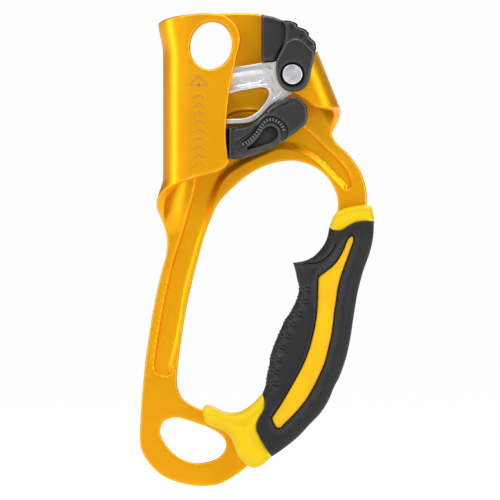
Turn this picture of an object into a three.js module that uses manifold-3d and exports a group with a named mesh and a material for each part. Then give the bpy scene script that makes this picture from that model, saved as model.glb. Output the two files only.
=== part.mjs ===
// A handled rope ascender: a bent sheet frame with a rope channel, a sprung toothed cam with a safety
// trigger, a plastic cover over the cam's fold, and a rubber hand grip.
// Millimetres, +Z up. The origin is on the rope's axis at the height of the cam's axle, +X runs from the
// rope towards the grip, and the front of the object faces -Y.
import * as THREE from "three";
import { mergeVertices } from "three/addons/utils/BufferGeometryUtils.js";
import Module from "manifold-3d";

const wasm = await Module();
wasm.setup();

// Driving dimensions
const SHEET = 3.5; // thickness of the frame's sheet
const HALF_GAP = 7.5; // from the rope's axis to the inside of the channel
const OUTER = HALF_GAP + SHEET; // to the outside of the sheet
const AXLE_X = 40.7; // the cam's axle, at z = 0
const AXLE_R = 3.0;
const RIVET_HEAD_R = 4.05;
const RIVET_TAIL_R = 4.4;
const RIVET_FRONT = -13;
const RIVET_BACK = 14.1;
const RIVET_TAIL_FROM = 12.9;
const BUSH_R = 4;
const BUSH_HALF = 5.3; // half of the bush's length
const WASHER_R = 5.5;
const WALL_DISTANCE = 12.8; // from the axle to the outside of the right-hand wall
const WALL_TILT = 0.38; // radians that this wall leans away from upright
const FOLD_R = 8; // outside radius of the right-hand fold
const WALL_TOP = 5; // the fold's wall ends this far along it above the axle
const EAR_R = 7; // the cover's ear round the rivet
const CAM_HALF = 5.5; // half of the cam's thickness
const HUB_R = 7.6;
const TOOTH_R = 49; // from the axle to the tooth face at its lower end
const TOOTH_ANGLE = 0.419; // radians that the lower end lies under the axle's level
const PIN_X = 36.2; // the trigger's pin
const PIN_Z = -11.2;
const PIN_R = 1.2;
const GRIP_FRONT = -6;
const GRIP_BACK = 19;
const SHELL_FRONT = -2.6; // front of the hard halves inside the grip
const SHELL_SEAM = 9.4; // where the rear half begins
const SHELL_BACK = 16.1;
const INLAY_FRONT = -5.1;
const INLAY_BACK = 18.1;
const GROOVE_DEPTH = 1.6;
const GAP = 0.3; // between pieces that touch
const FIT = 0.1; // between a pin and its bore
const ROOM_HALF = HALF_GAP - GAP; // half of the room between the frame's walls
const THROUGH = 20; // reach of a cutter that goes right through
const STEP = 5; // spacing of the points on a curved outline

const GOLD = { color: 0xe8a00a, roughness: 0.38, metalness: 0.9 };
const STEEL = { color: 0xc9ccd0, roughness: 0.3, metalness: 1 };
const BLACK = { color: 0x232426, roughness: 0.55, metalness: 0 };
const RUBBER = { color: 0x3a3a3c, roughness: 0.85, metalness: 0 };
const LEMON = { color: 0xf0d20c, roughness: 0.5, metalness: 0 };
const YELLOW = { color: 0xf2be0c, roughness: 0.5, metalness: 0 };

// Outlines lie in the XZ plane. Each stretch is a list of [x, z] points: two make a straight edge, more
// make a smooth curve, and a corner stands where one stretch ends and the next begins.
function outline(...stretches) {
  const points = [];
  for (const stretch of stretches) {
    const nodes = stretch.map(([x, z]) => new THREE.Vector3(x, z, 0));
    const curve = new THREE.CatmullRomCurve3(nodes, false, "centripetal");
    const count = stretch.length > 2 ? Math.max(2, Math.round(curve.getLength() / STEP)) : 1;
    const spaced = curve.getSpacedPoints(count);
    points.push(...spaced.slice(0, -1).map((p) => new THREE.Vector2(p.x, p.y)));
  }
  return points;
}

function loop(...points) {
  return outline([...points, points[0]]);
}

function circle(x, z, r, sides = 24) {
  const turn = (2 * Math.PI) / sides;
  const at = (i) => new THREE.Vector2(x + r * Math.cos(i * turn), z + r * Math.sin(i * turn));
  return Array.from({ length: sides }, (_, i) => at(i));
}

function polygon(...points) {
  return points.map(([x, z]) => new THREE.Vector2(x, z));
}

// A plate between y = front and y = back, with its edges rounded off by `round`.
function plate(points, front, back, { holes = [], round = 0, segments = 1 } = {}) {
  const shape = new THREE.Shape(THREE.ShapeUtils.isClockWise(points) ? [...points].reverse() : points);
  shape.holes = holes.map((hole) => new THREE.Path(hole));
  const geometry = new THREE.ExtrudeGeometry(shape, {
    depth: back - front - 2 * round,
    bevelEnabled: round > 0,
    bevelThickness: round,
    bevelSize: round,
    bevelOffset: -round,
    bevelSegments: segments,
  });
  return geometry.rotateX(Math.PI / 2).translate(0, back - round, 0);
}

function solid(geometry) {
  const bare = geometry.clone();
  bare.deleteAttribute("normal");
  bare.deleteAttribute("uv");
  const merged = mergeVertices(bare, 1e-4);
  const vertProperties = new Float32Array(merged.attributes.position.array);
  const triVerts = new Uint32Array(merged.index.array);
  return new wasm.Manifold(new wasm.Mesh({ numProp: 3, vertProperties, triVerts }));
}

function joined(...geometries) {
  return geometries.map(solid).reduce((sum, next) => sum.add(next));
}

function cut(body, ...cutters) {
  return cutters.map(solid).reduce((rest, next) => rest.subtract(next), body);
}

function geometryOf(body) {
  const mesh = body.getMesh();
  const geometry = new THREE.BufferGeometry();
  geometry.setAttribute("position", new THREE.BufferAttribute(mesh.vertProperties, mesh.numProp));
  geometry.setIndex(new THREE.BufferAttribute(mesh.triVerts, 1));
  geometry.computeVertexNormals();
  return geometry;
}

function rod(x, z, r, front, back, sides = 24) {
  const geometry = new THREE.CylinderGeometry(r, r, back - front, sides);
  return geometry.translate(x, (front + back) / 2, z);
}

function ring(x, z, inner, outer, front, back, sides = 24) {
  return plate(circle(x, z, outer, sides), front, back, { holes: [circle(x, z, inner, sides)] });
}

// A box of many facets bent into a sheet: place(u, v, w) gives the point for u round the bend, v through
// the sheet and w along it, each from 0 to 1.
function bentSheet(around, along, place) {
  const geometry = new THREE.BoxGeometry(1, 1, 1, around, 1, along);
  const position = geometry.attributes.position;
  for (let i = 0; i < position.count; i++) {
    const point = place(position.getX(i) + 0.5, position.getY(i) + 0.5, position.getZ(i) + 0.5);
    position.setXYZ(i, ...point);
  }
  return geometry;
}

function mix(a, b, t) {
  return a + (b - a) * t;
}

// How far the channel's round wall flares outwards at height z.
function flare(z) {
  const top = 2 * THREE.MathUtils.smoothstep(z, 8, 22);
  const foot = 2.3 * THREE.MathUtils.smoothstep(-z, 40, 51);
  return top + foot;
}

// The round wall of the rope channel, from the back plate round to the front flange.
function channelBend() {
  const overlap = 0.1; // share of the bend at each end that runs on straight into its plate
  return bentSheet(20, 12, (u, v, w) => {
    const turn = THREE.MathUtils.clamp((u - overlap) / (1 - 2 * overlap), 0, 1) * Math.PI;
    const straight = Math.max(overlap - u, u - 1 + overlap, 0) * 25;
    const r = mix(OUTER, HALF_GAP, v);
    const foot = mix(-56, -41.2, THREE.MathUtils.smoothstep(turn, 0.3, 2.9));
    const z = mix(foot, 24.2 - 3.2 * Math.sin(turn), w);
    const x = straight - (r + flare(z)) * Math.sin(turn);
    return [x, r * Math.cos(turn), z];
  });
}

// The right-hand fold, laid along its tilted wall: n is the distance from the axle square to the wall and
// t the distance along it.
function foldPoint(n, y, t) {
  const x = AXLE_X + n * Math.cos(WALL_TILT) - t * Math.sin(WALL_TILT);
  return [x, y, n * Math.sin(WALL_TILT) + t * Math.cos(WALL_TILT)];
}

function rightFold() {
  const arm = WALL_DISTANCE - FOLD_R; // where the flat plates end and the corners begin
  const corner = OUTER - FOLD_R; // half of the flat wall's width
  return bentSheet(20, 6, (u, v, w) => {
    const side = u < 0.5 ? 1 : -1;
    const run = Math.min(u, 1 - u) * 2; // 0 at a plate's edge, 1 in the middle of the wall
    const r = mix(FOLD_R - SHEET, FOLD_R, v);
    const turn = THREE.MathUtils.clamp((run - 0.2) / 0.5, 0, 1) * (Math.PI / 2);
    const lead = Math.max(0.2 - run, 0) * 10;
    const wall = corner * (1 - Math.max(run - 0.7, 0) / 0.3);
    const foot = side > 0 ? mix(-27, -20.5, run) : mix(-18, -20.5, run);
    const point = [arm - lead + r * Math.sin(turn), side * (wall + r * Math.cos(turn))];
    return foldPoint(point[0], point[1], mix(foot, WALL_TOP, w));
  });
}

// Outer edge of the back plate, down the left strut, round the lower eye and up the strut in the grip.
function backPlate() {
  const head = outline(
    [[1, 24.1], [9, 24.8], [28, 24.7]],
    [[28, 24.7], [36, 21.6], [42, 18.4], [46, 13], [47.6, 8]],
    [[47.6, 8], foldXZ(5, 4)],
    [foldXZ(5, 4), foldXZ(5, -25)],
    [foldXZ(5, -25), [56.8, -25.5], [62, -31.2], [68.6, -41.2], [70.4, -50], [69.5, -62], [65, -76],
      [61.5, -90], [59.5, -104], [55, -117], [47, -131], [37, -142], [23, -156.5], [13, -163.2],
      [3, -164.7], [-9, -161.8], [-17, -155.4], [-20.2, -147], [-20.1, -138], [-18.3, -117], [-15, -94],
      [-11.7, -79], [-9.4, -68], [-11.5, -58], [-11.2, -55]],
    [[-11.2, -55], [-4, -48], [1, -42]],
    [[1, -42], [1, 24.1]],
  );
  return plate(head, HALF_GAP, OUTER, { holes: [handOpening(), lowerEye()] });
}

function foldXZ(n, t) {
  const [x, , z] = foldPoint(n, 0, t);
  return [x, z];
}

function upperHole() {
  const tilt = -0.2;
  const ellipse = new THREE.EllipseCurve(8.2, 11.7, 9.7, 8.3, 0, 2 * Math.PI, false, Math.PI / 2 + tilt);
  return ellipse.getPoints(24).slice(0, -1);
}

function handOpening() {
  return loop([41, -34.2], [52, -38.2], [58.2, -47], [57.5, -58], [54, -70], [49, -84], [46, -98],
    [40.5, -112], [35, -123], [25, -133], [17, -136], [9, -135], [2, -133], [-4, -128.6], [-5.5, -122],
    [-3.6, -105], [0, -85], [4.6, -67.5], [10, -53.5], [18, -44], [30, -36.2]);
}

function lowerEye() {
  return loop([-6, -137.2], [3, -139.6], [11.5, -143.6], [14.1, -148.6], [11, -153.3], [4, -155.4],
    [-5, -153], [-11, -146.5], [-11.6, -140]);
}

// The flange in front of the rope.
function frontFlange() {
  const edge = outline(
    [[1, 24], [13, 23.9]],
    [[13, 23.9], [18, 19.6], [20, 14], [18.6, 7.5], [16.3, -3], [14.5, -18], [14.7, -29], [15.3, -34.5],
      [12.5, -38], [6, -40], [1, -41.4]],
    [[1, -41.4], [1, 24]],
  );
  return plate(edge, -OUTER, -HALF_GAP);
}

// The flange that carries the front end of the cam's axle.
function axleFlange() {
  const edge = outline(
    [[38, -5.6], [45, -10], [51.5, -13.4], foldXZ(5, -18)],
    [foldXZ(5, -18), foldXZ(5, 8)],
    [foldXZ(5, 8), [46, 13], [42, 18.4], [38.6, 20.4]],
    [[38.6, 20.4], [38.8, 14], [35.6, 4.4], [35, -1.5], [38, -5.6]],
  );
  return plate(edge, -OUTER, -HALF_GAP);
}

// The pressed groove that runs up the left strut, under the cam and down the right arm.
function groove() {
  return outline(
    [[-14.8, -116], [-10.4, -88], [-4.2, -65], [0.6, -48.5], [3, -34], [10, -20], [24, -14.5], [38, -17],
      [47, -21.6], [58, -32.6], [65, -42.4]],
    [[65, -42.4], [63.4, -45.2], [60.4, -43.4]],
    [[60.4, -43.4], [53, -33.4], [45, -28.4], [34, -28.6], [22, -33], [12, -38], [7, -48], [0, -70],
      [-5.8, -95], [-8.6, -116]],
    [[-8.6, -116], [-11.6, -119.8], [-14.8, -116]],
  );
}

function makeFrame() {
  const sheet = joined(backPlate(), frontFlange(), axleFlange(), channelBend(), rightFold());
  const rib = solid(plate(groove(), OUTER - 0.5, OUTER + GROOVE_DEPTH, { round: 0.25 }));
  const recess = plate(groove(), HALF_GAP - 1, HALF_GAP + GROOVE_DEPTH);
  const hole = plate(upperHole(), -THROUGH, THROUGH);
  return cut(sheet.add(rib), recess, hole, rod(AXLE_X, 0, AXLE_R + FIT, -THROUGH, THROUGH));
}

// Black cover: the ear in front of the fold, the crown over its shoulder and the panel inside it.
function makeCover() {
  const ear = outline(
    [[37.2, 22.2], [40, 22], [45, 18.8], [48.6, 14], [50.2, 10]],
    [[50.2, 10], [48.6, 3], [47.4, -1.6], [45, -5.4], [40.7, -EAR_R], [36.4, -5.4], [34, -1], [34.4, 5.6]],
    [[34.4, 5.6], [37.2, 12], [37.8, 17.5], [37.2, 22.2]],
  );
  const crown = outline(
    [[37.2, 22.2], [40, 22], [45, 18.8], [48.6, 14], [50.2, 10]],
    [[50.2, 10], [48.6, 9.9]],
    [[48.6, 9.9], [46.8, 13.4], [42.6, 18.9], [37.2, 21.7]],
    [[37.2, 21.7], [37.2, 22.2]],
  );
  const panel = outline(
    [[28.4, 24.2], [28.4, 6.6]],
    [[28.4, 6.6], [28.8, 5.8], [29.8, 5.4]],
    [[29.8, 5.4], [34.4, 8.6], [38, 12], [42, 12.4]],
    [[42, 12.4], [42.4, 18.6]],
    [[42.4, 18.6], [37.2, 22.2], [28.4, 24.2]],
  );
  const bridge = polygon([29, 22], [37, 22.2], [38.2, 20], [38.2, 14.4], [37.2, 12.4], [33, 12.4],
    [29, 14]);
  const body = joined(
    plate(ear, -13.2, -OUTER - GAP),
    plate(crown, -13.2, 11.2),
    plate(panel, -ROOM_HALF, ROOM_HALF),
    plate(bridge, -11.6, -7),
  );
  return cut(body, rod(AXLE_X, 0, RIVET_HEAD_R + 0.6, -THROUGH, -8));
}

// Radius of the tooth face at an angle below the axle's level. It grows downwards, so that a rope that
// pulls the cam up jams it: the spiral keeps the face upright where it meets the rope.
function toothRadius(angle) {
  return TOOTH_R * Math.exp(Math.tan(TOOTH_ANGLE) * (angle - TOOTH_ANGLE));
}

function toothPoint(angle, height = 0) {
  const r = toothRadius(angle) + height;
  return [AXLE_X - r * Math.cos(angle), -r * Math.sin(angle)];
}

function makeCam() {
  const body = outline(
    [[36.4, 6.2], [33, 5.3], [18, 3.3], [1, 0.6]],
    [[1, 0.6], toothPoint(0.02)],
    [toothPoint(0.02), toothPoint(0.15), toothPoint(0.28), toothPoint(TOOTH_ANGLE)],
    [toothPoint(TOOTH_ANGLE), [6, -20], [15, -19.9], [22, -19.4], [27, -17.5], [30, -14.6], [34, -11.1],
      [40, -7.4]],
    [[40, -7.4], [42, 0], [36.4, 6.2]],
  );
  const window = outline(
    [[28.6, -5.3], [30.6, -6], [31.2, -8], [29.6, -11.3], [27, -14.6], [22, -17.1], [16, -17.7],
      [4, -17.8]],
    [[4, -17.8], [2.6, -16.4], [2.6, -11.4], [4.4, -9.6]],
    [[4.4, -9.6], [16, -7.2], [28.6, -5.3]],
  );
  const panel = polygon([17, 1], [32.8, 3], [32.8, -1.6], [29.5, -4], [17, -5]);
  const blank = joined(
    plate(body, -CAM_HALF, CAM_HALF, { holes: [window] }),
    rod(AXLE_X, 0, HUB_R, -CAM_HALF, CAM_HALF, 32),
    rod(PIN_X, PIN_Z, 2.7, -2.7, 2.7),
  );
  const shaped = cut(
    blank,
    plate(panel, -CAM_HALF - 1, -CAM_HALF + 0.8),
    rod(AXLE_X, 0, BUSH_R + GAP, -THROUGH, THROUGH),
    ring(AXLE_X, 0, 4.9, HUB_R + 3, 1.6, THROUGH),
    rod(PIN_X, PIN_Z, PIN_R + FIT, -THROUGH, THROUGH),
    rod(PIN_X, PIN_Z, 3.3, -THROUGH, -2.7),
    rod(PIN_X, PIN_Z, 3.3, 2.7, THROUGH),
  );
  return teeth().reduce((sum, tooth) => sum.add(solid(tooth)), shaped);
}

// Rows of small pyramids on the tooth face, each row shifted half a pitch from the last.
function teeth() {
  const rows = 9;
  const height = 1.1;
  const list = [];
  for (let row = 0; row < rows; row++) {
    const angle = mix(0.07, TOOTH_ANGLE - 0.02, row / (rows - 1));
    const [x, z] = toothPoint(angle, height / 2 - 0.3);
    const columns = row % 2 ? 3 : 4;
    for (let column = 0; column < columns; column++) {
      const tooth = new THREE.ConeGeometry(0.85, height + 0.6, 4);
      tooth.rotateZ(Math.PI / 2 + angle + 0.25);
      list.push(tooth.translate(x, (column - (columns - 1) / 2) * 2.4, z));
    }
  }
  return list;
}

// Safety trigger: a web between the frame's walls with two ears on the pin, and a thumb pad in front.
function makeTrigger() {
  const web = outline(
    [[9, -22.4], [16, -20.8], [23, -20.3], [27.6, -18.6], [31, -15.6], [33.6, -13.4], [38, -12.2]],
    [[38, -12.2], [38.4, -15.6], [35, -20.5], [30.5, -26], [30, -30.3]],
    [[30, -30.3], [22, -33], [14, -33.9], [9, -33.4]],
    [[9, -33.4], [8.2, -28], [9, -22.4]],
  );
  const neck = polygon([17.2, -21.4], [24, -20.6], [27.4, -19.4], [31, -22], [33, -25.4], [33.6, -28.4],
    [30, -30.3], [22, -33], [17.2, -33.6]);
  const pad = outline(
    [[17.2, -21.4], [23, -20.2], [28, -17], [31.6, -13.2], [35.4, -10.8], [40.4, -8.7]],
    [[40.4, -8.7], [44.6, -11.2], [46.2, -13.6], [46.8, -17], [45.4, -20.6], [38, -26], [30, -30.3],
      [22, -33], [17.2, -33.7]],
    [[17.2, -33.7], [17.2, -21.4]],
  );
  const hollow = loop([21, -30.3], [26, -26.2], [29.4, -21.6], [32.6, -20.4], [35.2, -23.6], [32.4, -27.2]);
  const slope = plate(polygon([15, -17], [31, -17], [15, -12.6]), -40, 0).rotateX(-Math.PI / 2);
  const body = joined(
    plate(web, -ROOM_HALF, CAM_HALF),
    plate(neck, -12, -7),
    plate(pad, -15.4, -OUTER - 0.6),
  );
  return cut(
    body,
    slope,
    plate(hollow, -THROUGH, -13.2),
    camRoom(),
    rod(PIN_X, PIN_Z, 3, -3, 3),
    rod(PIN_X, PIN_Z, PIN_R, -6, 6),
    rod(PIN_X, PIN_Z, 2.8, 3, 5.1),
  );
}

// The space under the cam's lower edge that the trigger leaves free.
function camRoom() {
  const edge = outline(
    [[8, -8], [8, -20.8], [15, -20.6], [22, -20.1], [27.4, -18.2], [30.6, -15.3], [33, -13.2]],
    [[33, -13.2], [33, -8], [8, -8]],
  );
  return plate(edge, -6.2, 6.2);
}

// The coils of a round-wire torsion spring round an axis along Y.
function spring(x, z, radius, wire, from, to, turns, start) {
  const steps = Math.round(turns * 14);
  const points = [];
  for (let i = 0; i <= steps; i++) {
    const angle = start + (i / steps) * turns * 2 * Math.PI;
    const y = mix(from, to, i / steps);
    points.push(new THREE.Vector3(x + radius * Math.cos(angle), y, z + radius * Math.sin(angle)));
  }
  const path = new THREE.CatmullRomCurve3(points);
  const section = new THREE.Shape(circle(0, 0, wire / 2, 6));
  return new THREE.ExtrudeGeometry(section, { steps, extrudePath: path, bevelEnabled: false });
}

// Outlines of the grip, from the upper collar to the lower one.
function rubberOutline() {
  return outline(
    [[55.6, -61.4], [59.5, -62.8], [64, -61], [68, -59.4], [73.4, -58.9]],
    [[73.4, -58.9], [73.5, -63], [70.5, -74.5], [67.3, -85], [65, -98.5], [62.4, -112.5], [56.6, -127.2],
      [47.5, -140], [32.6, -152.6]],
    [[32.6, -152.6], [28, -145.2], [26.6, -140.6]],
    [[26.6, -140.6], [29.8, -133.6], [29, -127.5]],
    [[29, -127.5], [31.2, -116.5], [37.6, -99], [41, -93], [43.2, -84.4], [41.1, -75.4]],
    [[41.1, -75.4], [48, -73.4], [53.4, -67.6], [55.6, -61.4]],
  );
}

function upperCollarOutline() {
  return outline(
    [[58.4, -54.9], [64, -52.9], [70.4, -52], [72.4, -52.4]],
    [[72.4, -52.4], [73.4, -58.4]],
    [[73.4, -58.4], [67, -58.6], [60.4, -61.9], [55.9, -60.8]],
    [[55.9, -60.8], [56.6, -58], [58.4, -54.9]],
  );
}

function lowerCollarOutline() {
  return outline(
    [[4.7, -135.4], [5, -133], [7, -132], [16, -135.2], [22, -134], [28.4, -127.8]],
    [[28.4, -127.8], [29.3, -133.4], [26, -140.6]],
    [[26, -140.6], [28, -146.2], [32, -152.8]],
    [[32, -152.8], [28.6, -156.4], [24, -157]],
    [[24, -157], [18.2, -151.6], [16, -145], [7, -139.8], [4.7, -135.4]],
  );
}

// The window in the rubber, and the strip that fills it.
function windowOutline(inset) {
  return outline(
    [[63 + inset, -66], [60 + inset, -73], [51 + inset, -80.6]],
    [[51 + inset, -80.6], [50.8 + inset, -92], [49.6 + inset, -101], [44.4 + inset, -117],
      [32.6 + inset, -137.2]],
    [[32.6 + inset, -137.2], [35.4, -141 + inset]],
    [[35.4, -141 + inset], [47.6 - inset, -127.8], [54 - inset, -113.6], [57.6 - inset, -93],
      [60.6 - inset, -79], [65.2 - inset, -66]],
    [[65.2 - inset, -66], [64.2, -64.2 - inset], [63 + inset, -66]],
  );
}

// The strut inside the grip, widened by `room` on each side.
function strutOutline(room) {
  return outline(
    [[57 - room, -50], [57.4 - room, -58], [53.9 - room, -70], [48.9 - room, -84], [45.9 - room, -98],
      [40.4 - room, -112], [34.8 - room, -123], [26 - room, -132]],
    [[26 - room, -132], [16, -135 + room], [0, -131 + room]],
    [[0, -131 + room], [0, -170]],
    [[0, -170], [22, -158 - room], [37.4 + room, -142.4], [47.4 + room, -131], [55.4 + room, -117],
      [59.9 + room, -104], [61.9 + room, -90], [65.4 + room, -76], [69.9 + room, -62], [71 + room, -50]],
    [[71 + room, -50], [57 - room, -50]],
  );
}

function strutRoom() {
  return plate(strutOutline(GAP), HALF_GAP - GAP, OUTER + GAP);
}

function shellOutline() {
  return outline(
    [[57.4, -63.4], [64, -62], [70.6, -60.4]],
    [[70.6, -60.4], [67.6, -74.5], [64.3, -85], [62, -98.5], [59.2, -112.5], [53.6, -127], [44.5, -139.4],
      [33, -149.4]],
    [[33, -149.4], [29.6, -142], [31.6, -134]],
    [[31.6, -134], [34.2, -123], [40.4, -107.6], [45.8, -93], [48, -84], [53.4, -71], [57.4, -63.4]],
  );
}

function makeShell(front, back) {
  return cut(solid(plate(shellOutline(), front, back)), strutRoom());
}

function makeRubber() {
  const skin = plate(rubberOutline(), GRIP_FRONT, GRIP_BACK, { round: 3, segments: 2 });
  const inner = plate(growX(shellOutline(), GAP), SHELL_FRONT - GAP, SHELL_BACK + GAP);
  return cut(
    solid(skin),
    inner,
    strutRoom(),
    plate(windowOutline(-0.4), GRIP_FRONT - 1, 0),
    plate(windowOutline(-0.4), 14, GRIP_BACK + 1),
  );
}

// Moves an outline's points away from its middle line, to leave room round what lies inside.
function growX(points, room) {
  return points.map((p, i) => {
    const before = points[(i + points.length - 1) % points.length];
    const after = points[(i + 1) % points.length];
    const along = after.clone().sub(before).normalize();
    const side = THREE.ShapeUtils.isClockWise(points) ? -1 : 1;
    return new THREE.Vector2(p.x + side * room * along.y, p.y - side * room * along.x);
  });
}

function makeCollar(points) {
  const inset = 1.2; // from the rubber's front and back
  const body = plate(points, GRIP_FRONT + inset, GRIP_BACK - inset, { round: 2, segments: 2 });
  return cut(solid(body), strutRoom());
}

const ascender = new THREE.Group();

function add(name, shape, look) {
  const geometry = shape.isBufferGeometry ? shape : geometryOf(shape);
  const mesh = new THREE.Mesh(geometry, new THREE.MeshStandardMaterial(look));
  mesh.name = name;
  ascender.add(mesh);
}

add("frame", makeFrame(), GOLD);
add("top_cover", makeCover(), BLACK);
add("cam_axle", joined(
  rod(AXLE_X, 0, RIVET_HEAD_R, RIVET_FRONT, -OUTER - GAP),
  rod(AXLE_X, 0, AXLE_R, RIVET_FRONT + 1, RIVET_BACK - FIT),
  rod(AXLE_X, 0, RIVET_TAIL_R, RIVET_TAIL_FROM, RIVET_BACK),
), STEEL);
add("axle_washer_rear", ring(AXLE_X, 0, AXLE_R + 2 * FIT, 5.4, OUTER + GAP, RIVET_TAIL_FROM - GAP), STEEL);
add("cam", makeCam(), STEEL);
add("cam_bush", ring(AXLE_X, 0, AXLE_R + FIT, BUSH_R, -BUSH_HALF, BUSH_HALF), STEEL);
add("cam_washer_front", ring(AXLE_X, 0, AXLE_R + FIT, WASHER_R, -ROOM_HALF, -CAM_HALF - GAP), STEEL);
add("cam_washer_rear", ring(AXLE_X, 0, AXLE_R + FIT, WASHER_R, CAM_HALF + GAP, ROOM_HALF), STEEL);
add("cam_spring", spring(AXLE_X, 0, 6.1, 0.9, 2.2, 5, 3.2, 0), STEEL);
add("trigger", makeTrigger(), BLACK);
add("trigger_spring", spring(PIN_X, PIN_Z, 2.2, 0.5, 3.4, 4.8, 2, 0), STEEL);
add("trigger_pin", rod(PIN_X, PIN_Z, PIN_R - FIT, -CAM_HALF + FIT, CAM_HALF - FIT), STEEL);
add("grip_shell_front", makeShell(SHELL_FRONT, SHELL_SEAM - GAP), YELLOW);
add("grip_shell_rear", makeShell(SHELL_SEAM, SHELL_BACK), YELLOW);
add("grip_collar_upper", makeCollar(upperCollarOutline()), LEMON);
add("grip_collar_lower", makeCollar(lowerCollarOutline()), LEMON);
add("grip_inlay_front", plate(windowOutline(0), INLAY_FRONT, -3, { round: 0.3 }), YELLOW);
add("grip_inlay_rear", plate(windowOutline(0), 16.5, INLAY_BACK, { round: 0.3 }), YELLOW);
add("grip_rubber", makeRubber(), RUBBER);

export default ascender;
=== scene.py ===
# A handled rope ascender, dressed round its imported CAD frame. Outlines are in millimetres, in the CAD's
# XZ plane (the front faces -Y), and every mesh is written in metres.
import math

import bmesh
import bpy
import numpy as np
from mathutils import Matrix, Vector, geometry, kdtree


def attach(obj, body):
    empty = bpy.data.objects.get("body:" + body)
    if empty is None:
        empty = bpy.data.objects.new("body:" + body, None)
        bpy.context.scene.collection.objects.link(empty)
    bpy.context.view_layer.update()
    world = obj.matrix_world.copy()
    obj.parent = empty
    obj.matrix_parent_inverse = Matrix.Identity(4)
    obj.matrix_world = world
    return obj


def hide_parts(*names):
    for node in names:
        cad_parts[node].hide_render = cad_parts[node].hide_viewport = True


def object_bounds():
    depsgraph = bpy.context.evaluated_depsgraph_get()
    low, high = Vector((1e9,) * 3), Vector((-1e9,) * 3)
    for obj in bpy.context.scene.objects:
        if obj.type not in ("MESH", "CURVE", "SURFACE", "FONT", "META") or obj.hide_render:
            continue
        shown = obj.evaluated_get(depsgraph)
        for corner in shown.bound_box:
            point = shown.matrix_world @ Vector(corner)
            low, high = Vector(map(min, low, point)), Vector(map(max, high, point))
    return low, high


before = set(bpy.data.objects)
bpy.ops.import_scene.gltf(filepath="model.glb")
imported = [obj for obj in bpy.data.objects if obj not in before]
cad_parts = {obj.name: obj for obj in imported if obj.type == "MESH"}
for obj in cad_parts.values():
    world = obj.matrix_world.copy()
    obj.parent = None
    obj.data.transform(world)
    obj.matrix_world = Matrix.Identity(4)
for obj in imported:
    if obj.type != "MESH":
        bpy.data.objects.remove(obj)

cad_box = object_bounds()

MM = 0.001
SHEET = 3.5  # thickness of the frame's sheet
HALF_GAP = 7.5  # from the rope's axis to the inside of the sheet
OUTER = HALF_GAP + SHEET
MIDDLE = HALF_GAP + SHEET / 2  # from the rope's axis to the middle of the sheet
AXLE_X = 40.7
WALL_TILT = 0.38
FOLD_R = 6.25  # middle radius of the right-hand fold
FOLD_START = 4.8  # distance from the axle, square to the wall, where the fold begins
WALL_HALF = 3.0  # half of the flat part of the fold's wall
GROOVE_DEPTH = 1.35
AXLE_HOLE_R = 3.1
SHEET_RIM = 0.8  # radius of the sheet's rounded edges
PIN = (36.2, -11.2)  # the trigger's pin in the cam
CAM_HALF = 5.5  # half of the cam's thickness
TOOTH_R = 49.0  # from the axle to the teeth at the foot of the cam's face
TOOTH_ANGLE = 0.419  # of that foot below the axle, and of the spiral's slope
FINE = 0.45  # spacing of points on edges
COARSE = 1.7  # spacing of points inside a face
SHEET_COARSE = 1.5  # the same in the frame's sheet
RINGS = (0.08, 0.3, 0.6, 1.0)  # where points follow a rounded rim, as shares of its width
CHUNK = 2000  # points measured at once
SHARP_EDGE = 42  # faces that meet at more degrees than this keep a sharp edge


# ---- outlines

def columns(*values):
    return np.stack(values, axis=1)


def unit(vectors):
    return vectors / np.maximum(np.linalg.norm(vectors, axis=1, keepdims=True), 1e-9)


def smooth_curve(nodes, spacing):
    """Points along a centripetal Catmull-Rom curve through the nodes, without the last one."""
    nodes = [np.array(n, float) for n in nodes]
    if len(nodes) == 2:
        dense = [nodes[0] + (nodes[1] - nodes[0]) * t for t in np.linspace(0, 1, 33)]
    else:
        ends = [2 * nodes[0] - nodes[1], *nodes, 2 * nodes[-1] - nodes[-2]]
        dense = []
        for p0, p1, p2, p3 in zip(ends, ends[1:], ends[2:], ends[3:]):
            t1 = np.linalg.norm(p1 - p0) ** 0.5
            t2 = t1 + np.linalg.norm(p2 - p1) ** 0.5
            t3 = t2 + np.linalg.norm(p3 - p2) ** 0.5
            for t in np.linspace(t1, t2, 25)[:-1]:
                a1 = (t1 - t) / t1 * p0 + t / t1 * p1
                a2 = (t2 - t) / (t2 - t1) * p1 + (t - t1) / (t2 - t1) * p2
                a3 = (t3 - t) / (t3 - t2) * p2 + (t - t2) / (t3 - t2) * p3
                b1 = (t2 - t) / t2 * a1 + t / t2 * a2
                b2 = (t3 - t) / (t3 - t1) * a2 + (t - t1) / (t3 - t1) * a3
                dense.append((t2 - t) / (t2 - t1) * b1 + (t - t1) / (t2 - t1) * b2)
        dense.append(nodes[-1])
    return resample(np.array(dense), spacing)[:-1]


def resample(points, spacing):
    steps = np.linalg.norm(np.diff(points, axis=0), axis=1)
    along = np.concatenate([[0], np.cumsum(steps)])
    count = max(1, round(along[-1] / spacing))
    at = np.linspace(0, along[-1], count + 1)
    return columns(*(np.interp(at, along, points[:, k]) for k in range(2)))


def outline(*stretches, spacing=FINE * 2):
    """A closed outline. Each stretch is smooth, and a corner stands between one stretch and the next."""
    return np.concatenate([smooth_curve(s, spacing) for s in stretches])


def joined(*runs, spacing=FINE * 2):
    """A closed outline of smooth runs. Each run starts at the corner where the one before it ends."""
    return outline(*([runs[i - 1][-1], *run] for i, run in enumerate(runs)), spacing=spacing)


def loop(*nodes, spacing=FINE * 2):
    """A closed smooth outline through the nodes."""
    n = len(nodes)
    wrapped = [nodes[(i - 2) % n] for i in range(n + 5)]
    full = smooth_curve(wrapped, spacing)
    first = np.argmin(np.linalg.norm(full[: len(full) // 2] - np.array(nodes[0]), axis=1))
    rest = full[first + 8:]
    last = first + 8 + np.argmin(np.linalg.norm(rest - np.array(nodes[0]), axis=1))
    return full[first:last]


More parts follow.
